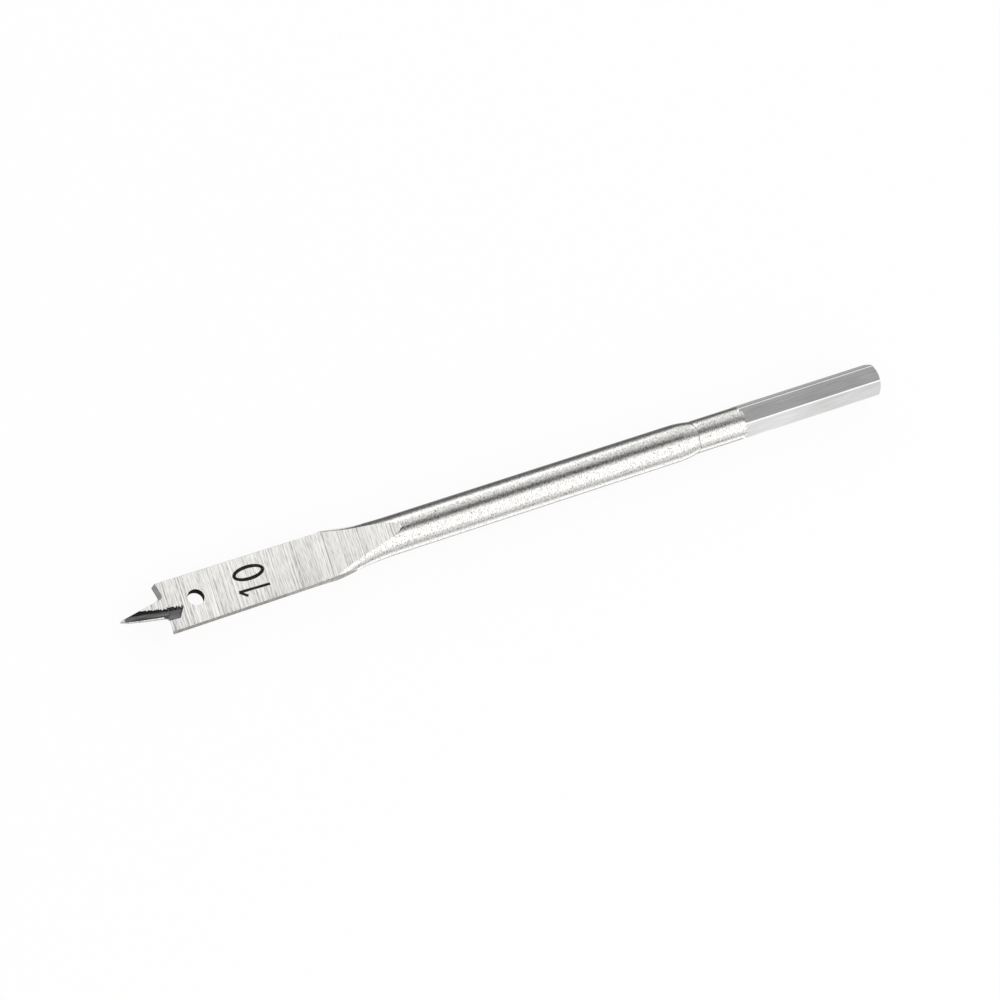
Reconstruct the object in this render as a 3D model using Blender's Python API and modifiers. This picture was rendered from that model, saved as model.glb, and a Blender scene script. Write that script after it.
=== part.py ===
"""Spade drill bit for wood, forged and ground from one bar of tool steel.

The bit is modelled along its own axis: local X runs from the tip of the
point to the end of the hexagonal shank, Y is across the blade and Z is
through its thickness. Local zero is the tip. The finished bit lies on its
round shank, with its box centred over the world origin.

Order of work, as in the forge: a turned bar is flattened into a blade, the
hexagonal drive end is joined to it, the blade's outline is trimmed, its two
faces are ground flat with a ramp up to the bar, the cutting lips and the
point are ground to shape, a narrow groove is ground beside each edge of the
point and runs into a wider gullet at the lip, and the hanging hole is
drilled.

Run with: blender --background --python part.py
"""

from math import cos, pi, radians, sin, sqrt, tan

import bmesh
import bpy
from mathutils import Matrix, Vector

# Overall sizes in metres
TOTAL_LENGTH = 0.165
BLADE_WIDTH = 0.010
BLADE_THICKNESS = 0.0018
SHANK_DIAMETER = 0.0075

# Point and cutting lips
LIP_STATION = 0.0084
LIP_ANGLE = radians(8.0)
EDGE_RELIEF = radians(15.5)
POINT_BEVEL_LENGTH = 0.0012
POINT_BEVEL_WIDTH = 0.0011
POINT_ROOT_WIDTH = 0.0041
LIP_ROOT_RADIUS = 0.0008

# Groove ground beside each edge of the point, which leaves a narrow land
# there. The offset is that of the groove's middle at the tip. The gullet's
# is measured in the same way, with its line carried on to the tip.
GROOVE_RADIUS = 0.0010
GROOVE_OFFSET = 0.00062
GROOVE_PLAN_ANGLE = radians(11.9)
GROOVE_RISE_ANGLE = radians(3.7)
GROOVE_END = 0.0092

# Wider gullet that the groove runs into, between two slanted walls
GULLET_RADIUS = 0.0022
GULLET_OFFSET = -0.00034
GULLET_PLAN_ANGLE = radians(7.6)
GULLET_RISE_ANGLE = radians(3.0)
GULLET_START = 0.0081
GULLET_START_WALL = radians(65.0)
GULLET_END = 0.01205
GULLET_END_SLANT = radians(35.0)
GULLET_END_WALL = radians(45.0)

# Hanging hole
HOLE_DIAMETER = 0.0032
HOLE_STATION = 0.0148

# Blade outline behind the lips: the blade ends at its heel, and the waist
# lies behind that. The back taper and the waist are losses of full width.
BLADE_LENGTH = 0.041
BACK_TAPER = 0.0004
WAIST_LENGTH = 0.0055
WAIST_STEP = 0.0007
WAIST_RADIUS = 0.0275

# Forging: the round bar is flattened towards the tip, starting this far
# behind the heel. Its height falls with the square of the travel, and its
# width grows with the power given here, up to the limit.
FORGE_REACH = 0.017
FORGE_LENGTH = 0.020
FORGE_SPREAD = 0.00219
FORGE_SPREAD_POWER = 3
FORGE_STOCK = 0.00075
FORGE_SPREAD_LIMIT = 0.0016
FORGE_PITCH = 0.0008

# Ground ramp from the blade's faces up to the round bar, which it leaves
# this far behind the heel
RAMP_REACH = 0.0153
RAMP_ANGLE = radians(9.65)
RAMP_FOOT_RADIUS = 0.025

# Neck in front of the hexagon, and the round shoulder in front of the neck
NECK_LENGTH = 0.0108
SHOULDER_LENGTH = 0.0047
NECK_DIAMETER = 0.0066
NECK_SHOULDER = 0.00004
NECK_CREASE_DEPTH = 0.00007
NECK_CREASE_WIDTH = 0.0003

# Hexagonal drive end
HEX_LENGTH = 0.0325
HEX_ACROSS_FLATS = 0.0063
HEX_EDGE_RADIUS = 0.0005
HEX_RUN_IN = 0.0009
END_CHAMFER_LENGTH = 0.0009
END_FACE_DIAMETER = 0.0044

# Mesh fineness
BAR_SIDES = 96
ARC_STEPS = 8
HOLE_SIDES = 48
HEX_EDGE_STEPS = 4
MERGE_DISTANCE = 0.000001

# How far a cutter reaches past the steel that it removes, and how far a
# joined end is sunk inside the steel around it
CLEAR = 0.002
SUNK = 0.0002

# Stations that follow from those sizes
HEX_START = TOTAL_LENGTH - HEX_LENGTH
NECK_STATION = HEX_START - NECK_LENGTH
SHOULDER_START = NECK_STATION - SHOULDER_LENGTH
FORGE_START = BLADE_LENGTH + FORGE_REACH
RAMP_END = BLADE_LENGTH + RAMP_REACH

STEEL_COLOUR = (0.62, 0.61, 0.59, 1.0)
STEEL_ROUGHNESS = 0.32


def clear_scene():
    """Empty the scene that the script starts in."""
    for obj in list(bpy.data.objects):
        bpy.data.objects.remove(obj, do_unlink=True)


def new_collection(name):
    """Make a collection in the scene."""
    collection = bpy.data.collections.new(name)
    bpy.context.scene.collection.children.link(collection)
    return collection


def new_object(name, data, collection, axis):
    """Put mesh or curve data in a collection, on the bit's axis empty."""
    obj = bpy.data.objects.new(name, data)
    collection.objects.link(obj)
    obj.parent = axis
    return obj


def steel():
    """Bright ground tool steel."""
    material = bpy.data.materials.new("tool_steel")
    material.use_nodes = True
    shader = material.node_tree.nodes["Principled BSDF"]
    shader.inputs["Base Color"].default_value = STEEL_COLOUR
    shader.inputs["Metallic"].default_value = 1.0
    shader.inputs["Roughness"].default_value = STEEL_ROUGHNESS
    return material


def bar_axis():
    """Empty on the bit's axis at its tip: the bit lies on its round shank."""
    axis = bpy.data.objects.new("bit_axis", None)
    axis.location = (-TOTAL_LENGTH / 2, 0.0, SHANK_DIAMETER / 2)
    return axis


def baked(obj):
    """An object's mesh with its modifiers, in its own local space."""
    bpy.context.view_layer.update()
    graph = bpy.context.evaluated_depsgraph_get()
    mesh = bpy.data.meshes.new_from_object(obj.evaluated_get(graph))
    mesh.name = obj.name
    return mesh


def edit_mesh(mesh, action):
    """Run one bmesh action on a mesh."""
    bm = bmesh.new()
    bm.from_mesh(mesh)
    action(bm)
    bm.to_mesh(mesh)
    bm.free()


def weld(bm):
    """Join the points that a cap or a cut leaves on top of each other."""
    bmesh.ops.remove_doubles(bm, verts=bm.verts, dist=MERGE_DISTANCE)
    bmesh.ops.dissolve_degenerate(bm, dist=MERGE_DISTANCE, edges=bm.edges)


def turned(name, profile, collection, axis):
    """Turn a profile of (station, radius) points, from the shank end to the tip."""
    mesh = bpy.data.meshes.new(name)
    points = [(radius, 0.0, station) for station, radius in profile]
    edges = [(index, index + 1) for index in range(len(points) - 1)]
    mesh.from_pydata(points, edges, [])
    obj = new_object(name, mesh, collection, axis)
    screw = obj.modifiers.new("turn", "SCREW")
    screw.axis = "Z"
    screw.steps = BAR_SIDES
    screw.render_steps = BAR_SIDES
    screw.use_merge_vertices = True
    screw.merge_threshold = MERGE_DISTANCE
    obj.data = baked(obj)
    obj.modifiers.clear()
    lay_down = Matrix.Rotation(pi / 2, 4, "Y")
    half_facet = Matrix.Rotation(pi / BAR_SIDES, 4, "X")
    obj.data.transform(half_facet @ lay_down)
    return obj


def plate(name, outline, half_depth, collection, axis):
    """Extrude a closed plan outline (x, y) to both sides of the XY plane."""
    curve = bpy.data.curves.new(name, "CURVE")
    curve.dimensions = "2D"
    curve.fill_mode = "BOTH"
    curve.extrude = half_depth
    spline = curve.splines.new("POLY")
    spline.points.add(len(outline) - 1)
    for point, (x, y) in zip(spline.points, outline):
        point.co = (x, y, 0.0, 1.0)
    spline.use_cyclic_u = True
    flat = bpy.data.objects.new(name + "_outline", curve)
    collection.objects.link(flat)
    mesh = baked(flat)
    bpy.data.objects.remove(flat)
    edit_mesh(mesh, weld)
    return new_object(name, mesh, collection, axis)


def half_turn(obj, name, collection, axis):
    """Copy of a cutter, turned half round the bit's axis."""
    mesh = obj.data.copy()
    mesh.transform(Matrix.Rotation(pi, 4, "X"))
    return new_object(name, mesh, collection, axis)


def fillet(before, corner, after, radius):
    """Points of an arc that rounds a corner between two straight lines."""
    corner = Vector(corner)
    into = (Vector(before) - corner).normalized()
    out = (Vector(after) - corner).normalized()
    half_angle = into.angle(out) / 2
    centre = corner + (into + out).normalized() * (radius / sin(half_angle))
    start = corner + into * (radius / tan(half_angle)) - centre
    sweep = start.angle_signed(corner + out * (radius / tan(half_angle)) - centre)
    steps = [sweep * index / ARC_STEPS for index in range(ARC_STEPS + 1)]
    return [centre + Matrix.Rotation(-angle, 2) @ start for angle in steps]


def arc_drop(length, drop, part):
    """Fall of a round shoulder at a part of its length, level where it starts."""
    radius = (length * length + drop * drop) / (2 * drop)
    along = length * part
    return radius - sqrt(radius * radius - along * along)


def bar_profile():
    """Half section of the round bar, from inside the hexagon to past the tip."""
    bar = SHANK_DIAMETER / 2
    neck = NECK_DIAMETER / 2
    flat = HEX_ACROSS_FLATS / 2
    run_out = HEX_START + HEX_RUN_IN
    profile = [
        (run_out + CLEAR, 0.0),
        (run_out + CLEAR, flat - SUNK),
        (run_out, flat - SUNK),
        (HEX_START, neck),
        (NECK_STATION + NECK_CREASE_WIDTH, neck),
        (NECK_STATION, neck - NECK_CREASE_DEPTH),
    ]
    crease_front = NECK_STATION - NECK_CREASE_WIDTH
    length = crease_front - SHOULDER_START
    drop = bar - neck - NECK_SHOULDER
    for index in range(ARC_STEPS, -1, -1):
        part = index / ARC_STEPS
        profile.append((SHOULDER_START + length * part, bar - arc_drop(length, drop, part)))
    profile.append((FORGE_START, bar))
    rings = round((FORGE_START - forge_full()) / FORGE_PITCH)
    for index in range(1, rings + 1):
        profile.append((FORGE_START + (forge_full() - FORGE_START) * index / rings, bar))
    profile.append((-CLEAR, bar))
    profile.append((-CLEAR, 0.0))
    return profile


def forge_spread():
    """Gain of the half width where the blade reaches its full section."""
    return BLADE_WIDTH / 2 + FORGE_SPREAD - SHANK_DIAMETER / 2


def forge_full():
    """Station where the forging stops growing wider."""
    limit = BLADE_WIDTH / 2 + FORGE_SPREAD_LIMIT - SHANK_DIAMETER / 2
    return FORGE_START - FORGE_LENGTH * (limit / forge_spread()) ** (1 / FORGE_SPREAD_POWER)


def forge(mesh):
    """Flatten the round bar: its width grows and its height falls to the tip."""
    bar = SHANK_DIAMETER / 2
    thinnest = BLADE_THICKNESS / 2 + FORGE_STOCK
    for vertex in mesh.vertices:
        station = max(vertex.co.x, forge_full())
        travel = max(0.0, (FORGE_START - station) / FORGE_LENGTH)
        width = bar + forge_spread() * travel ** FORGE_SPREAD_POWER
        height = max(thinnest, bar - (bar - thinnest) * travel ** 2)
        vertex.co.y *= width / bar
        vertex.co.z *= height / bar


def hexagon(collection, axis):
    """Hexagonal drive end: rounded edges, run-in at the neck, chamfered end."""
    corner = HEX_ACROSS_FLATS / sqrt(3)
    neck = NECK_DIAMETER / 2
    mesh = bpy.data.meshes.new("hex_bar")

    def shape(bm):
        bmesh.ops.create_cone(bm, cap_ends=True, segments=6, radius1=corner, radius2=corner,
                              depth=HEX_LENGTH + 2 * CLEAR)
        long_edges = [edge for edge in bm.edges if edge.calc_length() > corner * 2]
        bmesh.ops.bevel(bm, geom=long_edges, offset=HEX_EDGE_RADIUS * tan(radians(30)),
                        offset_type="OFFSET", segments=HEX_EDGE_STEPS, profile=0.5,
                        affect="EDGES", material=-1)
        bmesh.ops.rotate(bm, verts=bm.verts, matrix=Matrix.Rotation(pi / 2, 3, "Y"))
        bmesh.ops.translate(bm, verts=bm.verts, vec=(HEX_START + HEX_LENGTH / 2, 0.0, 0.0))

    edit_mesh(mesh, shape)
    bar = new_object("hex_bar", mesh, collection, axis)
    envelope = turned("hex_envelope", [
        (TOTAL_LENGTH, 0.0),
        (TOTAL_LENGTH, END_FACE_DIAMETER / 2),
        (TOTAL_LENGTH - END_CHAMFER_LENGTH, corner),
        (TOTAL_LENGTH - END_CHAMFER_LENGTH - CLEAR, corner + SUNK),
        (HEX_START + CLEAR, corner + SUNK),
        (HEX_START, corner),
        (HEX_START - HEX_RUN_IN, neck - SUNK),
        (HEX_START - HEX_RUN_IN, 0.0),
    ], collection, axis)
    combine(bar, envelope, "INTERSECT")
    return bar


def combine(target, tool, operation):
    """Join, cut or intersect a piece with another, and keep the result."""
    modifier = target.modifiers.new(tool.name, "BOOLEAN")
    modifier.operation = operation
    modifier.solver = "EXACT"
    modifier.object = tool
    result = baked(target)
    edit_mesh(result, weld)
    target.modifiers.clear()
    target.data = result


def outline_trim(collection, axis):
    """Sheared outline: back taper behind the lips, then a waist onto the bar."""
    lip = BLADE_WIDTH / 2
    heel = lip - BACK_TAPER / 2
    waist = heel - WAIST_STEP / 2
    outside = lip + SHANK_DIAMETER
    taper = (lip - heel) / (BLADE_LENGTH - LIP_STATION)
    front = (-2 * CLEAR, lip + taper * (LIP_STATION + 2 * CLEAR))
    heel_corner = (BLADE_LENGTH, heel)
    waist_corner = (BLADE_LENGTH + WAIST_LENGTH, waist)
    waist_end = (RAMP_END, waist)
    side = [front]
    side += fillet(front, heel_corner, waist_corner, WAIST_RADIUS)
    side += fillet(heel_corner, waist_corner, waist_end, WAIST_RADIUS)
    side += [waist_end, (FORGE_START, outside), (TOTAL_LENGTH + CLEAR, outside)]
    outline = [(x, y) for x, y in side] + [(x, -y) for x, y in reversed(side)]
    return plate("outline_trim", outline, SHANK_DIAMETER, collection, axis)


def face_grind(collection, axis):
    """Grinding cutter for the upper face: level over the blade, then the ramp."""
    face = BLADE_THICKNESS / 2
    top = SHANK_DIAMETER / 2
    foot = RAMP_END - (top - face) / tan(RAMP_ANGLE)
    over = CLEAR / tan(RAMP_ANGLE)
    outline = [(-2 * CLEAR, face)]
    outline += fillet(outline[0], (foot, face), (RAMP_END, top), RAMP_FOOT_RADIUS)
    outline += [(RAMP_END + over, top + CLEAR), (-2 * CLEAR, top + CLEAR)]
    cutter = plate("face_grind", outline, BLADE_WIDTH, collection, axis)
    cutter.data.transform(Matrix.Rotation(pi / 2, 4, "X"))
    return cutter


def lip_grind(collection, axis):
    """Cutter that forms one cutting lip and one edge of the point.

    The outline holds at mid thickness. The shear gives both edges their
    relief: the lip's leading edge is the one furthest forward.
    """
    lip_slope = tan(LIP_ANGLE)
    outside = BLADE_WIDTH / 2 + CLEAR
    bevel = (POINT_BEVEL_LENGTH, POINT_BEVEL_WIDTH / 2)
    inner = POINT_ROOT_WIDTH / 2
    root = (LIP_STATION + (BLADE_WIDTH / 2 - inner) * lip_slope, inner)
    lip_end = (LIP_STATION - CLEAR * lip_slope, outside)
    outline = [(-2 * CLEAR, -CLEAR), (0.0, 0.0), bevel]
    outline += fillet(bevel, root, lip_end, LIP_ROOT_RADIUS)
    outline += [lip_end, (-2 * CLEAR, outside)]
    cutter = plate("lip_grind", outline, BLADE_THICKNESS, collection, axis)
    relief = Matrix.Identity(4)
    relief[0][2] = tan(EDGE_RELIEF)
    relief[1][2] = -tan(EDGE_RELIEF)
    cutter.data.transform(relief)
    return cutter


def wheel(name, radius, side, plan_angle, rise_angle, reach, walls, collection, axis):
    """Round edge of a grinding wheel, which rises from mid thickness at the tip.

    It passes the tip at a distance to the side and is cut off by the walls,
    which are (point, direction) pairs.
    """
    mesh = bpy.data.meshes.new(name)
    place = (Matrix.Translation((0.0, side, radius))
             @ Matrix.Rotation(-plan_angle, 4, "Z")
             @ Matrix.Rotation(-rise_angle, 4, "Y")
             @ Matrix.Rotation(pi / 2, 4, "Y"))

    def shape(bm):
        bmesh.ops.create_cone(bm, cap_ends=True, segments=HOLE_SIDES, radius1=radius,
                              radius2=radius, depth=reach * 2, matrix=place)
        for point, direction in walls:
            parts = bm.verts[:] + bm.edges[:] + bm.faces[:]
            cut = bmesh.ops.bisect_plane(bm, geom=parts, plane_co=point, plane_no=direction,
                                         clear_outer=True)
            rim = [item for item in cut["geom_cut"] if isinstance(item, bmesh.types.BMEdge)]
            bmesh.ops.contextual_create(bm, geom=rim)
        bmesh.ops.recalc_face_normals(bm, faces=bm.faces)

    edit_mesh(mesh, shape)
    return new_object(name, mesh, collection, axis)


def groove_wheel(collection, axis):
    """Narrow groove beside one edge of the point, run out in the gullet."""
    return wheel("groove_wheel", GROOVE_RADIUS, GROOVE_OFFSET, GROOVE_PLAN_ANGLE,
                 GROOVE_RISE_ANGLE, GROOVE_END, [], collection, axis)


def gullet_wheel(collection, axis):
    """Gullet in front of one lip, between two slanted walls."""
    face = BLADE_THICKNESS / 2
    drift = tan(GULLET_PLAN_ANGLE)
    front = (GULLET_START, GULLET_OFFSET - GULLET_START * drift, face)
    back = (GULLET_END, GULLET_OFFSET - GULLET_END * drift + GULLET_RADIUS / 2, face)
    along = Vector((cos(GULLET_END_SLANT), -sin(GULLET_END_SLANT), 0.0))
    down = Vector((0.0, 0.0, -1.0))
    front_wall = down * sin(GULLET_START_WALL) - along * cos(GULLET_START_WALL)
    back_wall = down * sin(GULLET_END_WALL) + along * cos(GULLET_END_WALL)
    return wheel("gullet_wheel", GULLET_RADIUS, GULLET_OFFSET, GULLET_PLAN_ANGLE,
                 GULLET_RISE_ANGLE, GULLET_END * 1.5,
                 [(front, front_wall), (back, back_wall)], collection, axis)


def hole_drill(collection, axis):
    """Drill for the hanging hole through the blade."""
    mesh = bpy.data.meshes.new("hole_drill")

    def shape(bm):
        place = Matrix.Translation((HOLE_STATION, 0.0, 0.0))
        bmesh.ops.create_cone(bm, cap_ends=True, segments=HOLE_SIDES, radius1=HOLE_DIAMETER / 2,
                              radius2=HOLE_DIAMETER / 2, depth=SHANK_DIAMETER, matrix=place)

    edit_mesh(mesh, shape)
    return new_object("hole_drill", mesh, collection, axis)


def build():
    clear_scene()
    bit_parts = new_collection("spade_drill_bit")
    cutters = new_collection("cutters")
    axis = bar_axis()
    bit_parts.objects.link(axis)

    bit = turned("spade_bit", bar_profile(), bit_parts, axis)
    forge(bit.data)
    combine(bit, hexagon(cutters, axis), "UNION")
    combine(bit, outline_trim(cutters, axis), "INTERSECT")

    upper_face = face_grind(cutters, axis)
    upper_lip = lip_grind(cutters, axis)
    front_groove = groove_wheel(cutters, axis)
    front_gullet = gullet_wheel(cutters, axis)
    for cutter in (upper_face, upper_lip, front_groove, front_gullet):
        combine(bit, cutter, "DIFFERENCE")
        opposite = half_turn(cutter, cutter.name + "_opposite", cutters, axis)
        combine(bit, opposite, "DIFFERENCE")
    combine(bit, hole_drill(cutters, axis), "DIFFERENCE")

    bit.data.materials.clear()
    bit.data.materials.append(steel())
    bit.data.shade_smooth()
    bit.data.set_sharp_from_angle(angle=radians(25))
    for cutter in cutters.objects:
        cutter.hide_render = True
        cutter.display_type = "WIRE"


build()
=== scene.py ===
"""Looks of the spade drill bit: finely cut steel, its finishes, a white floor and soft studio light.

The bit is cut again here in the order of the workshop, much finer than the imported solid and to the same
sizes. Each tool leaves its own finish on the faces that it cuts: a turned and tumbled bar, a drawn hexagon,
sheared blade sides, ground blade faces, ground lips and gullets, a drilled hole and an etched size number.

Bit sizes are in millimetres along the bit's own axis, with X from the tip to the shank's end, Y across the
blade and Z out of its upper face. The finished mesh is scaled and moved into the frame.
"""

from math import cos, pi, radians, sin, sqrt, tan

import bmesh
import bpy
from mathutils import Matrix, Vector, noise


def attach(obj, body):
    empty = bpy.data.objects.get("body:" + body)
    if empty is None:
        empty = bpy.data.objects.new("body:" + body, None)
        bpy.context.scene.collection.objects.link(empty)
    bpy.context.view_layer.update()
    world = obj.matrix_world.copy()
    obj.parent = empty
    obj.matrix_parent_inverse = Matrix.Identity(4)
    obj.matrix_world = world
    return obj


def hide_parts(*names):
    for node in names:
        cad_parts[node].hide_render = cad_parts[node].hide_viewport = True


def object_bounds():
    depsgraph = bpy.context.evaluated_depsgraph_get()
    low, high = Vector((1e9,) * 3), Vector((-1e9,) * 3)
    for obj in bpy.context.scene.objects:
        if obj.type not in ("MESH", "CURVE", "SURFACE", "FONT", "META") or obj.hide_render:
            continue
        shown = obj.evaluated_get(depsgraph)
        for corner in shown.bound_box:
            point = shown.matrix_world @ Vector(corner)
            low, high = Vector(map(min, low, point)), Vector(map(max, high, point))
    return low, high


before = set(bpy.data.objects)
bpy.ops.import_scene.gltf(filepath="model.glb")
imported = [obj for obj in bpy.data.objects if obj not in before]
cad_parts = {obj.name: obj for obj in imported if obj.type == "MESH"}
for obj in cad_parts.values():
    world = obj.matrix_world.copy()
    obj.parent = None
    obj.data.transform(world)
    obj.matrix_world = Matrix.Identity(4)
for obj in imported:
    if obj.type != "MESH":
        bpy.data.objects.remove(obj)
CAD_LOW, CAD_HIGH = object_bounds()

# Millimetres in a metre, and the bit's place in the frame
MM = 0.001
TIP = Vector((CAD_LOW.x, 0.0, (CAD_LOW.z + CAD_HIGH.z) / 2))

# Overall sizes, from the frame where it gives them
TOTAL_LENGTH = (CAD_HIGH.x - CAD_LOW.x) / MM
SHANK_DIAMETER = (CAD_HIGH.z - CAD_LOW.z) / MM
BLADE_WIDTH = 10.0
BLADE_THICKNESS = 1.8

# Point and cutting lips
LIP_STATION = 8.4
LIP_ANGLE = radians(8.0)
EDGE_RELIEF = radians(15.5)
POINT_BEVEL_LENGTH = 1.2
POINT_BEVEL_WIDTH = 1.1
POINT_ROOT_WIDTH = 4.1
LIP_ROOT_RADIUS = 0.8

# Narrow groove beside each edge of the point, which leaves a land there
GROOVE_RADIUS = 1.0
GROOVE_OFFSET = 0.62
GROOVE_PLAN_ANGLE = radians(11.9)
GROOVE_RISE_ANGLE = radians(3.7)
GROOVE_END = 9.2

# Wider gullet that the groove runs into, between two slanted walls
GULLET_RADIUS = 2.2
GULLET_OFFSET = -0.34
GULLET_PLAN_ANGLE = radians(7.6)
GULLET_RISE_ANGLE = radians(3.0)
GULLET_START = 8.1
GULLET_START_WALL = radians(65.0)
GULLET_END = 12.05
GULLET_END_SLANT = radians(35.0)
GULLET_END_WALL = radians(45.0)
GULLET_REACH = GULLET_END * 1.5

# Torn far rim of the groove and the gullet: broad tears, and so many finer ones to each of them
TEAR_WIDTH = 0.4
TEAR_DEPTH = 0.3
TEAR_PITCH = 0.34
TEAR_STEP = 0.09
TEAR_FINER = 2.3
TEAR_FINER_SHARE = 0.6

# Hanging hole
HOLE_DIAMETER = 3.2
HOLE_STATION = 14.8

# Blade outline, forging and ground ramp
BLADE_LENGTH = 41.0
BACK_TAPER = 0.4
WAIST_LENGTH = 5.5
WAIST_STEP = 0.7
WAIST_RADIUS = 27.5
FORGE_START = BLADE_LENGTH + 17.0
FORGE_LENGTH = 20.0
FORGE_SPREAD = 2.19
FORGE_SPREAD_POWER = 3
FORGE_STOCK = 0.75
FORGE_SPREAD_LIMIT = 1.6
RAMP_END = BLADE_LENGTH + 15.3
RAMP_ANGLE = radians(9.65)
RAMP_FOOT_RADIUS = 25.0

# Hexagonal drive end, the neck in front of it and the round shoulder in front of the neck
HEX_LENGTH = 32.5
HEX_START = TOTAL_LENGTH - HEX_LENGTH
HEX_ACROSS_FLATS = 6.3
HEX_EDGE_RADIUS = 0.5
HEX_RUN_IN = 0.9
END_CHAMFER_LENGTH = 0.9
END_FACE_DIAMETER = 4.4
NECK_STATION = HEX_START - 10.8
SHOULDER_START = NECK_STATION - 4.7
NECK_DIAMETER = 6.6
NECK_SHOULDER = 0.04
NECK_CREASE_DEPTH = 0.07
NECK_CREASE_WIDTH = 0.3

# Etched size number, read with the tip upwards: plain strokes, as deep as an etch
MARK_DEPTH = 0.04
ONE_FOOT = (28.95, -1.96)
ONE_TOP = (22.75, -1.77)
ONE_FLAG = (24.15, -2.95)
ONE_STROKE = 0.54
ZERO_CENTRE = (25.95, 1.42)
ZERO_HALF_LENGTH = 3.2
ZERO_HALF_WIDTH = 1.54
ZERO_STROKE = 0.7

# Finishing: the belt's scratches, turned from straight across the blade, the broken edges along the blade,
# and the length of the point that wear keeps bright
BELT_ANGLE = radians(-6.4)
EDGE_BREAK = 0.18
WORN_TIP = 1.2

# Mesh fineness
BAR_SIDES = 192
FORGE_PITCH = 0.5
SHANK_PITCH = 2.0
NECK_PITCH = 0.45
ARC_STEPS = 24
TOOL_SIDES = 96
HEX_EDGE_STEPS = 8
OVAL_STEPS = 64
EDGE_BREAK_STEPS = 3
SHARP_ANGLE = radians(24)
MERGE_DISTANCE = 0.0005

# How far a tool reaches past the steel, and how far joined bodies sink into each other
CLEAR = 2.0
SUNK = 0.2

# Camera in metres: it looks down on the lying bit from its tip and near side, rolled as the photograph is
CAMERA_AIM = (-0.00397, 0.00005, 0.00375)
CAMERA_DISTANCE = 0.56374
CAMERA_AZIMUTH = radians(-139.667)
CAMERA_ELEVATION = radians(60.229)
CAMERA_ROLL = radians(27.664)
CAMERA_LENS = 105.564

# Studio in metres: the floor, how much of its white is a glow, and the brightness of the white all round
FLOOR_SIZE = 4.0
FLOOR_GLOW = 0.9
WORLD_LIGHT = 0.8

# Heights of the level cards over the bit, and of those just above the floor
ABOVE = 0.12
BELOW = 0.0006

# Cards round the bit, which give its steel the dark and bright bands of a product photograph. Each has its
# low and high corners, and its brightness along an axis: from where to where it changes, and its first and
# last value.
STUDIO_CARDS = (
    ("over_blade", (-0.04, 0.018, ABOVE), (0.012, 0.13, ABOVE), "X", -0.03, 0.004, 1.46, 1.0),
    ("over_near_side", (-0.04, -0.055, ABOVE), (0.3, -0.006, ABOVE), "Y", -0.055, -0.009, 1.2, 0.12),
    ("over_middle", (-0.04, -0.006, ABOVE), (0.104, 0.018, ABOVE), "Y", 0.006, 0.018, 0.1, 0.2),
    ("over_shank_low", (0.012, 0.018, ABOVE), (0.104, 0.05, ABOVE), "Y", 0.018, 0.05, 0.22, 0.68),
    ("over_shank_high", (0.012, 0.05, ABOVE), (0.104, 0.13, ABOVE), "Y", 0.05, 0.13, 0.68, 1.2),
    ("over_hexagon", (0.104, -0.006, ABOVE), (0.3, 0.08, ABOVE), "Y", 0.05, 0.08, 0.42, 1.1),
    ("far_floor", (-0.03, 0.0055, BELOW), (0.2, 0.3, BELOW), "Y", 0.006, 0.012, 0.5, 0.14),
    ("far_wall", (-0.1, 0.3, 0.0), (0.192, 0.3, 0.1), "Z", 0.01, 0.1, 0.2, 0.9),
    ("far_end_wall", (0.192, 0.3, 0.02), (0.35, 0.3, 0.26), "Z", 0.0, 1.0, 0.97, 0.97),
    ("near_floor", (-0.05, -0.0145, BELOW), (0.058, -0.0046, BELOW), "Y", -0.0068, -0.0108, 1.35, 0.6),
    ("near_far_floor", (-0.05, -0.12, BELOW), (0.058, -0.0145, BELOW), "Y", -0.0145, -0.04, 0.6, 0.95),
    ("near_end_floor", (0.058, -0.06, BELOW), (0.13, -0.0075, BELOW), "X", 0.065, 0.095, 1.0, 0.82),
    ("under_shank", (-0.04, -0.0046, BELOW), (0.052, 0.0, BELOW), "Y", 0.0, 1.0, 0.5, 0.5),
)

# Soft boxes on both sides: place, the point that they face, length and width, and their face's brightness
SOFT_BOXES = (
    ("near_strip", (0.22, -0.4, 0.3), (0.22, 0.0, 0.0), (1.1, 0.6), 0.55),
    ("far_strip", (0.18, 0.4, 0.215), (0.18, 0.0, 0.0), (0.9, 0.16), 0.75),
)


def new_mesh(name, shape):
    """Mesh that one bmesh action shapes."""
    bm = bmesh.new()
    shape(bm)
    mesh = bpy.data.meshes.new(name)
    bm.to_mesh(mesh)
    bm.free()
    return mesh


def edit_mesh(mesh, shape):
    """Run one more bmesh action on a mesh."""
    bm = bmesh.new()
    bm.from_mesh(mesh)
    shape(bm)
    bm.to_mesh(mesh)
    bm.free()


def new_piece(name, mesh, finish):
    """Object with one finish, in the scene."""
    mesh.materials.append(finish)
    piece = bpy.data.objects.new(name, mesh)
    bpy.context.scene.collection.objects.link(piece)
    return piece


def weld(bm):
    """Join the points that a cut leaves on top of each other."""
    bmesh.ops.remove_doubles(bm, verts=bm.verts, dist=MERGE_DISTANCE)
    bmesh.ops.dissolve_degenerate(bm, dist=MERGE_DISTANCE, edges=bm.edges)


def cut(piece, tool, operation):
    """Join, cut or intersect a piece with a tool, which leaves its finish and goes."""
    modifier = piece.modifiers.new(tool.name, "BOOLEAN")
    modifier.operation = operation
    modifier.solver = "EXACT"
    modifier.material_mode = "TRANSFER"
    modifier.object = tool
    bpy.context.view_layer.update()
    graph = bpy.context.evaluated_depsgraph_get()
    result = bpy.data.meshes.new_from_object(piece.evaluated_get(graph))
    edit_mesh(result, weld)
    piece.modifiers.clear()
    piece.data = result
    bpy.data.objects.remove(tool)


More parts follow.
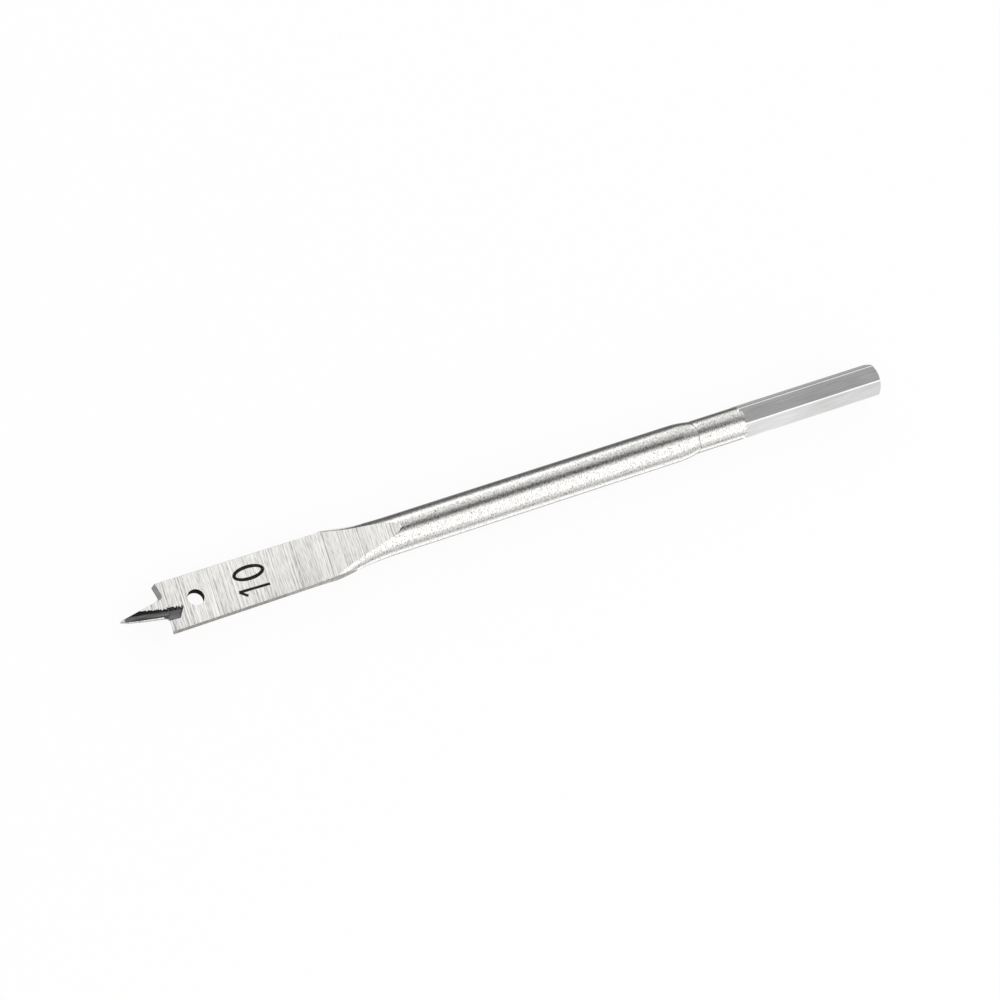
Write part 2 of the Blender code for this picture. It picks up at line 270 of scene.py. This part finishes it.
def turned(name, profile, finish):
    """Turn a profile of (station, radius) points round the bit's axis."""

    def shape(bm):
        points = [bm.verts.new((station, 0.0, radius)) for station, radius in profile]
        edges = [bm.edges.new(pair) for pair in zip(points, points[1:])]
        bmesh.ops.spin(bm, geom=points + edges, cent=(0.0, 0.0, 0.0), axis=(1.0, 0.0, 0.0),
                       steps=BAR_SIDES, angle=2 * pi, use_merge=True)
        bmesh.ops.remove_doubles(bm, verts=bm.verts, dist=MERGE_DISTANCE)
        bmesh.ops.recalc_face_normals(bm, faces=bm.faces)

    return new_piece(name, new_mesh(name, shape), finish)


def plate(name, outline, half_depth, finish):
    """Extrude a closed plan outline of (x, y) points to both sides of the XY plane."""

    def shape(bm):
        rim = [bm.verts.new((x, y, -half_depth)) for x, y in outline]
        face = bm.faces.new(rim)
        grown = bmesh.ops.extrude_face_region(bm, geom=[face])["geom"]
        raised = [item for item in grown if isinstance(item, bmesh.types.BMVert)]
        bmesh.ops.translate(bm, verts=raised, vec=(0.0, 0.0, 2 * half_depth))
        bmesh.ops.recalc_face_normals(bm, faces=bm.faces)

    return new_piece(name, new_mesh(name, shape), finish)


def half_turn(tool):
    """Copy of a tool, turned half round the bit's axis."""
    mesh = tool.data.copy()
    mesh.transform(Matrix.Rotation(pi, 4, "X"))
    copy = bpy.data.objects.new(tool.name + "_opposite", mesh)
    bpy.context.scene.collection.objects.link(copy)
    return copy


def fillet(before, corner, after, radius):
    """Points of an arc that rounds a corner between two straight lines."""
    corner = Vector(corner)
    into = (Vector(before) - corner).normalized()
    out = (Vector(after) - corner).normalized()
    half_angle = into.angle(out) / 2
    centre = corner + (into + out).normalized() * (radius / sin(half_angle))
    start = corner + into * (radius / tan(half_angle)) - centre
    sweep = start.angle_signed(corner + out * (radius / tan(half_angle)) - centre)
    steps = [sweep * index / ARC_STEPS for index in range(ARC_STEPS + 1)]
    return [centre + Matrix.Rotation(-angle, 2) @ start for angle in steps]


def stations(start, end, pitch):
    """Stations after the start, up to and with the end, about a pitch apart."""
    count = max(1, round(abs(end - start) / pitch))
    return [start + (end - start) * index / count for index in range(1, count + 1)]


def forge_spread():
    """Gain of the half width where the blade reaches its full section."""
    return BLADE_WIDTH / 2 + FORGE_SPREAD - SHANK_DIAMETER / 2


def forge_full():
    """Station where the forging stops growing wider."""
    limit = BLADE_WIDTH / 2 + FORGE_SPREAD_LIMIT - SHANK_DIAMETER / 2
    return FORGE_START - FORGE_LENGTH * (limit / forge_spread()) ** (1 / FORGE_SPREAD_POWER)


def bar_profile():
    """Half section of the round bar, from inside the hexagon to past the tip."""
    bar = SHANK_DIAMETER / 2
    neck = NECK_DIAMETER / 2
    inside = HEX_ACROSS_FLATS / 2 - SUNK
    run_out = HEX_START + HEX_RUN_IN
    crease_back = NECK_STATION + NECK_CREASE_WIDTH
    crease_front = NECK_STATION - NECK_CREASE_WIDTH
    profile = [(run_out + CLEAR, 0.0), (run_out + CLEAR, inside), (run_out, inside), (HEX_START, neck)]
    profile += [(station, neck) for station in stations(HEX_START, crease_back, NECK_PITCH)]
    profile.append((NECK_STATION, neck - NECK_CREASE_DEPTH))
    length = crease_front - SHOULDER_START
    drop = bar - neck - NECK_SHOULDER
    radius = (length * length + drop * drop) / (2 * drop)
    for index in range(ARC_STEPS, -1, -1):
        along = length * index / ARC_STEPS
        profile.append((SHOULDER_START + along, bar - radius + sqrt(radius * radius - along * along)))
    profile += [(station, bar) for station in stations(SHOULDER_START, FORGE_START, SHANK_PITCH)]
    profile += [(station, bar) for station in stations(FORGE_START, forge_full(), FORGE_PITCH)]
    profile += [(-CLEAR, bar), (-CLEAR, 0.0)]
    return profile


def forge(mesh):
    """Flatten the round bar: its width grows and its height falls to the tip."""
    bar = SHANK_DIAMETER / 2
    thinnest = BLADE_THICKNESS / 2 + FORGE_STOCK
    for vertex in mesh.vertices:
        station = max(vertex.co.x, forge_full())
        travel = max(0.0, (FORGE_START - station) / FORGE_LENGTH)
        width = bar + forge_spread() * travel ** FORGE_SPREAD_POWER
        height = max(thinnest, bar - (bar - thinnest) * travel ** 2)
        vertex.co.y *= width / bar
        vertex.co.z *= height / bar


def hexagon(finish):
    """Hexagonal drive end: rounded edges, run-in at the neck, chamfered end."""
    corner = HEX_ACROSS_FLATS / sqrt(3)
    neck = NECK_DIAMETER / 2

    def shape(bm):
        bmesh.ops.create_cone(bm, cap_ends=True, segments=6, radius1=corner, radius2=corner,
                              depth=HEX_LENGTH + 2 * CLEAR)
        long_edges = [edge for edge in bm.edges if edge.calc_length() > corner * 2]
        bmesh.ops.bevel(bm, geom=long_edges, offset=HEX_EDGE_RADIUS * tan(radians(30)), offset_type="OFFSET",
                        segments=HEX_EDGE_STEPS, profile=0.5, affect="EDGES", material=-1)
        bmesh.ops.rotate(bm, verts=bm.verts, matrix=Matrix.Rotation(pi / 2, 3, "Y"))
        bmesh.ops.translate(bm, verts=bm.verts, vec=(HEX_START + HEX_LENGTH / 2, 0.0, 0.0))

    bar = new_piece("hex_bar", new_mesh("hex_bar", shape), finish)
    envelope = turned("hex_envelope", [
        (TOTAL_LENGTH, 0.0),
        (TOTAL_LENGTH, END_FACE_DIAMETER / 2),
        (TOTAL_LENGTH - END_CHAMFER_LENGTH, corner),
        (TOTAL_LENGTH - END_CHAMFER_LENGTH - CLEAR, corner + SUNK),
        (HEX_START + CLEAR, corner + SUNK),
        (HEX_START, corner),
        (HEX_START - HEX_RUN_IN, neck - SUNK),
        (HEX_START - HEX_RUN_IN, 0.0),
    ], finish)
    cut(bar, envelope, "INTERSECT")
    return bar


def outline_trim(finish):
    """Sheared outline: back taper behind the lips, then a waist onto the bar."""
    lip = BLADE_WIDTH / 2
    heel = lip - BACK_TAPER / 2
    waist = heel - WAIST_STEP / 2
    outside = lip + SHANK_DIAMETER
    taper = (lip - heel) / (BLADE_LENGTH - LIP_STATION)
    front = (-2 * CLEAR, lip + taper * (LIP_STATION + 2 * CLEAR))
    heel_corner = (BLADE_LENGTH, heel)
    waist_corner = (BLADE_LENGTH + WAIST_LENGTH, waist)
    waist_end = (RAMP_END, waist)
    side = [front]
    side += fillet(front, heel_corner, waist_corner, WAIST_RADIUS)
    side += fillet(heel_corner, waist_corner, waist_end, WAIST_RADIUS)
    side += [waist_end, (FORGE_START, outside), (TOTAL_LENGTH + CLEAR, outside)]
    outline = [(x, y) for x, y in side] + [(x, -y) for x, y in reversed(side)]
    return plate("outline_trim", outline, SHANK_DIAMETER, finish)


def face_grind(finish):
    """Grinding tool for the upper face: level over the blade, then the ramp."""
    face = BLADE_THICKNESS / 2
    top = SHANK_DIAMETER / 2
    foot = RAMP_END - (top - face) / tan(RAMP_ANGLE)
    over = CLEAR / tan(RAMP_ANGLE)
    outline = [(-2 * CLEAR, face)]
    outline += fillet(outline[0], (foot, face), (RAMP_END, top), RAMP_FOOT_RADIUS)
    outline += [(RAMP_END + over, top + CLEAR), (-2 * CLEAR, top + CLEAR)]
    tool = plate("face_grind", outline, BLADE_WIDTH, finish)
    tool.data.transform(Matrix.Rotation(pi / 2, 4, "X"))
    return tool


def lip_grind(finish):
    """Tool that forms one cutting lip and one edge of the point, sheared for their relief."""
    lip_slope = tan(LIP_ANGLE)
    outside = BLADE_WIDTH / 2 + CLEAR
    bevel = (POINT_BEVEL_LENGTH, POINT_BEVEL_WIDTH / 2)
    inner = POINT_ROOT_WIDTH / 2
    root = (LIP_STATION + (BLADE_WIDTH / 2 - inner) * lip_slope, inner)
    lip_end = (LIP_STATION - CLEAR * lip_slope, outside)
    outline = [(-2 * CLEAR, -CLEAR), (0.0, 0.0), bevel]
    outline += fillet(bevel, root, lip_end, LIP_ROOT_RADIUS)
    outline += [lip_end, (-2 * CLEAR, outside)]
    tool = plate("lip_grind", outline, BLADE_THICKNESS, finish)
    relief = Matrix.Identity(4)
    relief[0][2] = tan(EDGE_RELIEF)
    relief[1][2] = -tan(EDGE_RELIEF)
    tool.data.transform(relief)
    return tool


def tear_rim(bm, middle):
    """Tear the steel along a wheel's far rim on the blade's face. The wheel's middle gives Y at a station."""
    for vertex in bm.verts:
        depth = abs(vertex.co.z - BLADE_THICKNESS / 2)
        if depth < TEAR_DEPTH and vertex.co.y > middle(vertex.co.x):
            station = vertex.co.x / TEAR_PITCH
            broad = noise.noise((station, 0.0, 0.0))
            fine = noise.noise((station * TEAR_FINER, 5.0, 0.0))
            torn = broad + TEAR_FINER_SHARE * fine
            vertex.co.y += TEAR_WIDTH * torn * (1 - depth / TEAR_DEPTH)


def wheel(name, radius, side, plan_angle, rise_angle, reach, walls, finish):
    """Round edge of a grinding wheel, which rises from mid thickness at the tip.

    Its walls, if it has any, are planes given by a point and the direction that they cut away.
    """
    place = (Matrix.Translation((0.0, side, radius))
             @ Matrix.Rotation(-plan_angle, 4, "Z")
             @ Matrix.Rotation(-rise_angle, 4, "Y")
             @ Matrix.Rotation(pi / 2, 4, "Y"))

    def shape(bm):
        bmesh.ops.create_cone(bm, cap_ends=True, segments=TOOL_SIDES, radius1=radius, radius2=radius,
                              depth=reach * 2, matrix=place)
        lengthwise = [edge for edge in bm.edges if edge.calc_length() > reach]
        bmesh.ops.subdivide_edges(bm, edges=lengthwise, cuts=round(reach * 2 / TEAR_STEP), use_grid_fill=True)
        tear_rim(bm, lambda station: side - station * tan(plan_angle))
        for point, direction in walls:
            parts = bm.verts[:] + bm.edges[:] + bm.faces[:]
            made = bmesh.ops.bisect_plane(bm, geom=parts, plane_co=point, plane_no=direction,
                                          clear_outer=True)
            rim = [item for item in made["geom_cut"] if isinstance(item, bmesh.types.BMEdge)]
            bmesh.ops.contextual_create(bm, geom=rim)
        bmesh.ops.recalc_face_normals(bm, faces=bm.faces)

    return new_piece(name, new_mesh(name, shape), finish)


def groove_wheel(finish):
    """Narrow groove beside one edge of the point, run out in the gullet."""
    return wheel("groove_wheel", GROOVE_RADIUS, GROOVE_OFFSET, GROOVE_PLAN_ANGLE, GROOVE_RISE_ANGLE,
                 GROOVE_END, [], finish)


def gullet_wheel(finish):
    """Gullet in front of one lip, between two slanted walls."""
    face = BLADE_THICKNESS / 2
    drift = tan(GULLET_PLAN_ANGLE)
    front = (GULLET_START, GULLET_OFFSET - GULLET_START * drift, face)
    back = (GULLET_END, GULLET_OFFSET - GULLET_END * drift + GULLET_RADIUS / 2, face)
    along = Vector((cos(GULLET_END_SLANT), -sin(GULLET_END_SLANT), 0.0))
    down = Vector((0.0, 0.0, -1.0))
    front_wall = down * sin(GULLET_START_WALL) - along * cos(GULLET_START_WALL)
    back_wall = down * sin(GULLET_END_WALL) + along * cos(GULLET_END_WALL)
    return wheel("gullet_wheel", GULLET_RADIUS, GULLET_OFFSET, GULLET_PLAN_ANGLE, GULLET_RISE_ANGLE,
                 GULLET_REACH, [(front, front_wall), (back, back_wall)], finish)


def hole_drill(finish):
    """Drill for the hanging hole through the blade."""

    def shape(bm):
        bmesh.ops.create_cone(bm, cap_ends=True, segments=TOOL_SIDES, radius1=HOLE_DIAMETER / 2,
                              radius2=HOLE_DIAMETER / 2, depth=SHANK_DIAMETER,
                              matrix=Matrix.Translation((HOLE_STATION, 0.0, 0.0)))

    return new_piece("hole_drill", new_mesh("hole_drill", shape), finish)


def stroke(start, end, width):
    """Outline of one straight stroke of the mark."""
    start = Vector(start)
    end = Vector(end)
    side = (end - start).normalized().orthogonal() * (width / 2)
    return [start + side, end + side, end - side, start - side]


def oval(half_length, half_width):
    """Outline of the zero's inner or outer edge."""
    turns = [2 * pi * index / OVAL_STEPS for index in range(OVAL_STEPS)]
    return [Vector(ZERO_CENTRE) + Vector((half_length * cos(a), half_width * sin(a))) for a in turns]


def etch(name, outline, finish):
    """Etching tool that sinks an outline into the blade's upper face."""
    tool = plate(name, outline, MARK_DEPTH, finish)
    tool.data.transform(Matrix.Translation((0.0, 0.0, BLADE_THICKNESS / 2)))
    return tool


def size_mark(bit, finish):
    """Etch the size number: a one with its flag, and an oval zero."""
    cut(bit, etch("one_stem", stroke(ONE_TOP, ONE_FOOT, ONE_STROKE), finish), "DIFFERENCE")
    cut(bit, etch("one_flag", stroke(ONE_TOP, ONE_FLAG, ONE_STROKE), finish), "DIFFERENCE")
    ring = etch("zero", oval(ZERO_HALF_LENGTH, ZERO_HALF_WIDTH), finish)
    inner = oval(ZERO_HALF_LENGTH - ZERO_STROKE, ZERO_HALF_WIDTH - ZERO_STROKE)
    core = plate("zero_core", inner, BLADE_THICKNESS, finish)
    cut(ring, core, "DIFFERENCE")
    cut(bit, ring, "DIFFERENCE")


def hex_colour(code):
    """sRGB hex colour as linear RGBA."""
    channels = [int(code[index:index + 2], 16) / 255 for index in (1, 3, 5)]
    return [c / 12.92 if c <= 0.04045 else ((c + 0.055) / 1.055) ** 2.4 for c in channels] + [1.0]


def add(owner, kind, sockets, **settings):
    """Add one shader node: each socket takes another node's output or a plain value."""
    node = owner.node_tree.nodes.new(kind)
    for key, value in settings.items():
        setattr(node, key, value)
    for socket, source in sockets.items():
        if isinstance(source, bpy.types.NodeSocket):
            owner.node_tree.links.new(source, node.inputs[socket])
        else:
            node.inputs[socket].default_value = source
    return node


def new_material(name):
    """Material with no nodes yet."""
    material = bpy.data.materials.new(name)
    material.use_nodes = True
    material.node_tree.nodes.clear()
    return material


def marks(material, cell, detail, turn=0.0):
    """Uneven pattern from 0 to 1. Its cells have a size in millimetres and a turn in the blade's plane."""
    place = add(material, "ShaderNodeTexCoord", {})
    cells = add(material, "ShaderNodeMapping", {
        "Vector": place.outputs["Object"],
        "Rotation": (0.0, 0.0, turn),
        "Scale": [length * MM for length in cell],
    }, vector_type="TEXTURE")
    return add(material, "ShaderNodeTexNoise", {
        "Vector": cells.outputs[0], "Scale": 1.0, "Detail": detail, "Roughness": 0.6,
    }).outputs[0]


def bare_steel(material, look, shades, dullness, relief, depth):
    """Finish of bare steel: its shades and dullness follow one pattern, and its relief another.

    The shades are pairs of a place in the pattern and a colour, the dullness goes from its first to its last
    value over the same places, and the relief's depth is in millimetres.
    """
    tint = add(material, "ShaderNodeValToRGB", {"Fac": look})
    while len(tint.color_ramp.elements) < len(shades):
        tint.color_ramp.elements.new(0.5)
    for element, (position, code) in zip(tint.color_ramp.elements, shades):
        element.position = position
        element.color = hex_colour(code)
    polish = add(material, "ShaderNodeMapRange", {
        "Value": look, "From Min": shades[0][0], "From Max": shades[-1][0],
        "To Min": dullness[0], "To Max": dullness[1],
    })
    surface = add(material, "ShaderNodeBump", {"Height": relief, "Distance": depth * MM})
    shader = add(material, "ShaderNodeBsdfPrincipled", {
        "Base Color": tint.outputs[0], "Metallic": 1.0, "Roughness": polish.outputs[0],
        "Normal": surface.outputs[0],
    })
    add(material, "ShaderNodeOutputMaterial", {"Surface": shader.outputs[0]})
    return material


def tumbled_bar_steel():
    """Round bar, turned and tumbled bright: fine strokes round the bar fray the edges of its reflections.

    The neck's narrow groove is painted darker, as painted shade. The real strokes are a few
    hundredths of a millimetre wide. They are drawn coarser, so that they show.
    """
    material = new_material("tumbled_bar_steel")
    strokes = marks(material, (0.18, 0.4, 0.4), 1.0)
    dimples = marks(material, (0.3, 0.3, 0.3), 1.0)
    relief = add(material, "ShaderNodeMix", {"Factor": 0.25, "A": strokes, "B": dimples})
    place = add(material, "ShaderNodeTexCoord", {})
    along = add(material, "ShaderNodeSeparateXYZ", {"Vector": place.outputs["Object"]})
    from_crease = add(material, "ShaderNodeMath", {0: along.outputs["X"], 1: TIP.x + NECK_STATION * MM},
                      operation="SUBTRACT")
    distance = add(material, "ShaderNodeMath", {0: from_crease.outputs[0]}, operation="ABSOLUTE")
    # Painted shade: the bar's colour darkens towards the middle of the neck's groove
    crease_shade = add(material, "ShaderNodeMapRange", {
        "Value": distance.outputs[0], "From Min": NECK_CREASE_WIDTH * MM / 2, "From Max": 0.0,
        "To Min": 0.0, "To Max": 0.17,
    })
    look = add(material, "ShaderNodeMath", {0: strokes, 1: crease_shade.outputs[0]}, operation="SUBTRACT")
    shades = [(0.2, "#5E5C5A"), (0.36, "#C6C4C1"), (0.5, "#E3E2DF"), (0.62, "#F7F6F5")]
    return bare_steel(material, look.outputs[0], shades, (0.14, 0.24), relief.outputs[0], 0.017)


def drawn_hexagon_steel():
    """Cold-drawn hexagon: smooth flats, faintly clouded, with fine lines along the bar from the die."""
    material = new_material("drawn_hexagon_steel")
    clouds = marks(material, (9.0, 2.5, 2.5), 1.0)
    lines = marks(material, (7.0, 0.3, 0.3), 2.0)
    look = add(material, "ShaderNodeMix", {"Factor": 0.5, "A": clouds, "B": lines})
    shades = [(0.36, "#DAD9D8"), (0.5, "#E3E2E2"), (0.64, "#ECEBEB")]
    return bare_steel(material, look.outputs[0], shades, (0.14, 0.2), lines, 0.002)


def sheared_side_steel():
    """Sheared and tumbled sides of the blade: dull, with the shear's tears straight through the steel."""
    material = new_material("sheared_side_steel")
    tears = marks(material, (0.35, 0.9, 2.5), 3.0)
    # Their dark grey is partly the sheared steel's own tone and partly painted shade for the shadowed floor
    # below
    shades = [(0.34, "#74726E"), (0.5, "#93918C"), (0.66, "#ABA9A5")]
    return bare_steel(material, tears, shades, (0.34, 0.5), tears, 0.03)


def ground_blade_steel():
    """Faces ground across the blade on a belt: straight scratches a little off square, a few of them white.

    A real scratch is a few hundredths of a millimetre wide. They are drawn several times coarser, so that
    they show.
    """
    material = new_material("ground_blade_steel")
    bands = marks(material, (2.2, 60.0, 60.0), 1.0, BELT_ANGLE)
    lines = marks(material, (0.26, 50.0, 50.0), 0.0, BELT_ANGLE)
    hairs = marks(material, (0.2, 1.4, 1.4), 0.0, BELT_ANGLE)
    single = marks(material, (0.3, 40.0, 40.0), 0.0, BELT_ANGLE)
    broad = add(material, "ShaderNodeMix", {"Factor": 0.66, "A": bands, "B": lines})
    look = add(material, "ShaderNodeMix", {"Factor": 0.3, "A": broad.outputs[0], "B": hairs})
    deep = add(material, "ShaderNodeMapRange", {
        "Value": single, "From Min": 0.65, "From Max": 0.71, "To Min": 0.0, "To Max": 0.3,
    })
    shallow = add(material, "ShaderNodeMapRange", {
        "Value": single, "From Min": 0.32, "From Max": 0.24, "To Min": 0.0, "To Max": 0.12,
    })
    raised = add(material, "ShaderNodeMath", {0: look.outputs[0], 1: deep.outputs[0]}, operation="ADD")
    scratched = add(material, "ShaderNodeMath", {0: raised.outputs[0], 1: shallow.outputs[0]},
                    operation="SUBTRACT")
    shades = [(0.31, "#A2A09E"), (0.42, "#CFCDCA"), (0.5, "#E3E1DE"), (0.58, "#EFEDEA"), (0.7, "#FFFEFC")]
    return bare_steel(material, scratched.outputs[0], shades, (0.28, 0.4), lines, 0.006)


def ground_lip_steel():
    """Cutting lips and the point's edges, ground on a finer wheel: grey, with short even scratches."""
    material = new_material("ground_lip_steel")
    lines = marks(material, (0.8, 0.8, 0.16), 2.0)
    shades = [(0.34, "#767574"), (0.5, "#8A8988"), (0.66, "#9E9D9C")]
    return bare_steel(material, lines, shades, (0.3, 0.4), lines, 0.006)


def ground_gullet_steel():
    """Gullets from a small fast wheel: dark grey, with scratches along the wheel's path.

    Their steep walls and their torn side are painted darker, as painted shade. Wear keeps the very tip
    bright.
    """
    material = new_material("ground_gullet_steel")
    lines = marks(material, (5.0, 0.16, 0.16), 3.0, -GROOVE_PLAN_ANGLE)
    surface = add(material, "ShaderNodeNewGeometry", {})
    facing = add(material, "ShaderNodeSeparateXYZ", {"Vector": surface.outputs["Normal"]})
    steep = add(material, "ShaderNodeMath", {0: facing.outputs["Y"]}, operation="ABSOLUTE")
    # Painted shade: steep walls and the torn side get a darker colour by which way they face
    upright = add(material, "ShaderNodeMapRange", {
        "Value": steep.outputs[0], "From Min": 0.6, "From Max": 0.85, "To Min": 0.0, "To Max": 0.5,
    })
    turned_in = add(material, "ShaderNodeMath", {0: facing.outputs["Y"], 1: facing.outputs["Z"]},
                    operation="MULTIPLY")
    torn_side_shade = add(material, "ShaderNodeMapRange", {
        "Value": turned_in.outputs[0], "From Min": -0.22, "From Max": -0.34, "To Min": 0.0, "To Max": 0.5,
    })
    wall = add(material, "ShaderNodeMath", {0: upright.outputs[0], 1: torn_side_shade.outputs[0]},
               operation="MAXIMUM")
    ground = add(material, "ShaderNodeMath", {0: lines, 1: wall.outputs[0]}, operation="SUBTRACT")
    place = add(material, "ShaderNodeTexCoord", {})
    along = add(material, "ShaderNodeSeparateXYZ", {"Vector": place.outputs["Object"]})
    worn = add(material, "ShaderNodeMapRange", {
        "Value": along.outputs["X"], "From Min": TIP.x + WORN_TIP * MM, "From Max": TIP.x + WORN_TIP * MM / 2,
        "To Min": 0.0, "To Max": 0.5,
    })
    look = add(material, "ShaderNodeMath", {0: ground.outputs[0], 1: worn.outputs[0]}, operation="ADD")
    shades = [(0.0, "#1F1F1D"), (0.32, "#555657"), (0.5, "#68696A"), (0.68, "#7E7F80"), (0.95, "#DAD9D7")]
    return bare_steel(material, look.outputs[0], shades, (0.36, 0.44), lines, 0.008)


def drilled_wall_shade_steel():
    """Wall of the drilled hole: painted near black as painted shade, with rings from the drill."""
    material = new_material("drilled_wall_shade_steel")
    rings = marks(material, (1.2, 1.2, 0.16), 2.0)
    shades = [(0.34, "#0A0A09"), (0.5, "#141312"), (0.66, "#2B2927")]
    return bare_steel(material, rings, shades, (0.75, 0.9), rings, 0.01)


def etched_mark_steel():
    """Size number etched with acid: a dark, dull, slightly uneven oxide."""
    material = new_material("etched_mark_steel")
    pits = marks(material, (0.3, 0.3, 0.3), 3.0)
    shades = [(0.34, "#1C1B1B"), (0.5, "#2B2A2A"), (0.66, "#464544")]
    return bare_steel(material, pits, shades, (0.5, 0.7), pits, 0.006)


def break_edges(bm, finish, next_finish):
    """Round the sharp edges between two finishes a little, as grinding and handling do."""
    pair = sorted((finish, next_finish))
    sharp = [edge for edge in bm.edges
             if len(edge.link_faces) == 2 and edge.calc_face_angle() > SHARP_ANGLE
             and sorted(face.material_index for face in edge.link_faces) == pair]
    bmesh.ops.bevel(bm, geom=sharp, offset=EDGE_BREAK, offset_type="OFFSET", segments=EDGE_BREAK_STEPS,
                    profile=0.5, affect="EDGES", clamp_overlap=False, material=-1)


def spade_bit():
    """Make the bit in the order of the workshop, and put it in place of the plain solid."""
    bar = tumbled_bar_steel()
    drawn = drawn_hexagon_steel()
    sheared = sheared_side_steel()
    ground = ground_blade_steel()
    lips = ground_lip_steel()
    gullet = ground_gullet_steel()

    bit = turned("spade_bit_steel", bar_profile(), bar)
    forge(bit.data)
    cut(bit, hexagon(drawn), "UNION")
    cut(bit, outline_trim(sheared), "INTERSECT")
    for tool in (face_grind(ground), lip_grind(lips), groove_wheel(gullet), gullet_wheel(gullet)):
        opposite = half_turn(tool)
        cut(bit, tool, "DIFFERENCE")
        cut(bit, opposite, "DIFFERENCE")
    finishes = bit.data.materials[:]
    edit_mesh(bit.data, lambda bm: break_edges(bm, finishes.index(ground), finishes.index(sheared)))
    cut(bit, hole_drill(drilled_wall_shade_steel()), "DIFFERENCE")
    size_mark(bit, etched_mark_steel())
    bit.data.transform(Matrix.Translation(TIP) @ Matrix.Scale(MM, 4))
    bit.data.shade_smooth()
    bit.data.set_sharp_from_angle(angle=SHARP_ANGLE)
    level = bit.modifiers.new("level_flats", "WEIGHTED_NORMAL")
    level.keep_sharp = True
    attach(bit, "root")
    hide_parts("spade_bit")


def studio_world():
    """White surroundings, which light everything evenly."""
    world = bpy.data.worlds.new("white_studio")
    world.use_nodes = True
    world.node_tree.nodes.clear()
    white = add(world, "ShaderNodeBackground", {"Color": hex_colour("#FFFFFF"), "Strength": WORLD_LIGHT})
    add(world, "ShaderNodeOutputWorld", {"Surface": white.outputs[0]})
    bpy.context.scene.world = world


def sheet(name, low, high, material):
    """Level or upright rectangle between two corners in metres."""
    middle = (Vector(low) + Vector(high)) / 2
    length, width, height = Vector(high) - Vector(low)

    def shape(bm):
        bmesh.ops.create_grid(bm, x_segments=1, y_segments=1, size=0.5)
        bmesh.ops.scale(bm, verts=bm.verts, vec=(length, width or height, 1.0))
        if not width:
            bmesh.ops.rotate(bm, verts=bm.verts, matrix=Matrix.Rotation(pi / 2, 3, "X"))
        bmesh.ops.translate(bm, verts=bm.verts, vec=middle)

    made = new_piece(name, new_mesh(name, shape), material)
    return made


def floor():
    """White paper floor, burnt out as in the photograph: to the camera and the steel most of it glows."""
    material = new_material("white_paper_floor")
    path = add(material, "ShaderNodeLightPath", {})
    seen = add(material, "ShaderNodeMath", {
        0: path.outputs["Is Camera Ray"], 1: path.outputs["Is Glossy Ray"],
    }, operation="MAXIMUM")
    share = add(material, "ShaderNodeMath", {0: seen.outputs[0], 1: FLOOR_GLOW}, operation="MULTIPLY")
    paper = add(material, "ShaderNodeBsdfDiffuse", {"Color": hex_colour("#FCFCFC")})
    glow = add(material, "ShaderNodeEmission", {})
    mixed = add(material, "ShaderNodeMixShader", {
        0: share.outputs[0], 1: paper.outputs[0], 2: glow.outputs[0],
    })
    add(material, "ShaderNodeOutputMaterial", {"Surface": mixed.outputs[0]})
    half = FLOOR_SIZE / 2
    sheet("floor", (-half, -half, 0.0), (half, half, 0.0), material)


def card(name, low, high, axis, start, end, first, last):
    """Studio card that only reflections see. Its brightness goes from first to last along an axis."""
    material = new_material(name + "_board")
    place = add(material, "ShaderNodeTexCoord", {})
    axes = add(material, "ShaderNodeSeparateXYZ", {"Vector": place.outputs["Object"]})
    shade = add(material, "ShaderNodeMapRange", {
        "Value": axes.outputs[axis], "From Min": start, "From Max": end, "To Min": first, "To Max": last,
    })
    glow = add(material, "ShaderNodeEmission", {"Strength": shade.outputs[0]})
    add(material, "ShaderNodeOutputMaterial", {"Surface": glow.outputs[0]})
    made = sheet(name, low, high, material)
    for ray in ("camera", "diffuse", "transmission", "volume_scatter", "shadow"):
        setattr(made, "visible_" + ray, False)


def soft_box(name, place, target, size, radiance):
    """Rectangular lamp with a given brightness of its face, not seen by the camera."""
    light = bpy.data.lights.new(name, "AREA")
    light.shape = "RECTANGLE"
    light.size, light.size_y = size
    light.energy = radiance * pi * light.size * light.size_y
    lamp = bpy.data.objects.new(name, light)
    bpy.context.scene.collection.objects.link(lamp)
    lamp.location = place
    lamp.rotation_euler = (Vector(target) - Vector(place)).to_track_quat("-Z", "Y").to_euler()
    lamp.visible_camera = False


def camera():
    """Camera at the photograph's viewing angle, rolled as it is."""
    data = bpy.data.cameras.new("camera")
    data.lens = CAMERA_LENS
    data.sensor_width = 36.0
    data.clip_start = 0.01
    data.clip_end = 10.0
    view = bpy.data.objects.new("camera", data)
    bpy.context.scene.collection.objects.link(view)
    away = Vector((cos(CAMERA_AZIMUTH) * cos(CAMERA_ELEVATION), sin(CAMERA_AZIMUTH) * cos(CAMERA_ELEVATION),
                   sin(CAMERA_ELEVATION)))
    look = (-away).to_track_quat("-Z", "Y").to_matrix() @ Matrix.Rotation(CAMERA_ROLL, 3, "Z")
    view.matrix_world = Matrix.Translation(Vector(CAMERA_AIM) + away * CAMERA_DISTANCE) @ look.to_4x4()
    bpy.context.scene.camera = view


studio_world()
floor()
camera()
spade_bit()
for settings in STUDIO_CARDS:
    card(*settings)
for settings in SOFT_BOXES:
    soft_box(*settings)
bpy.context.scene.view_settings.view_transform = "Standard"
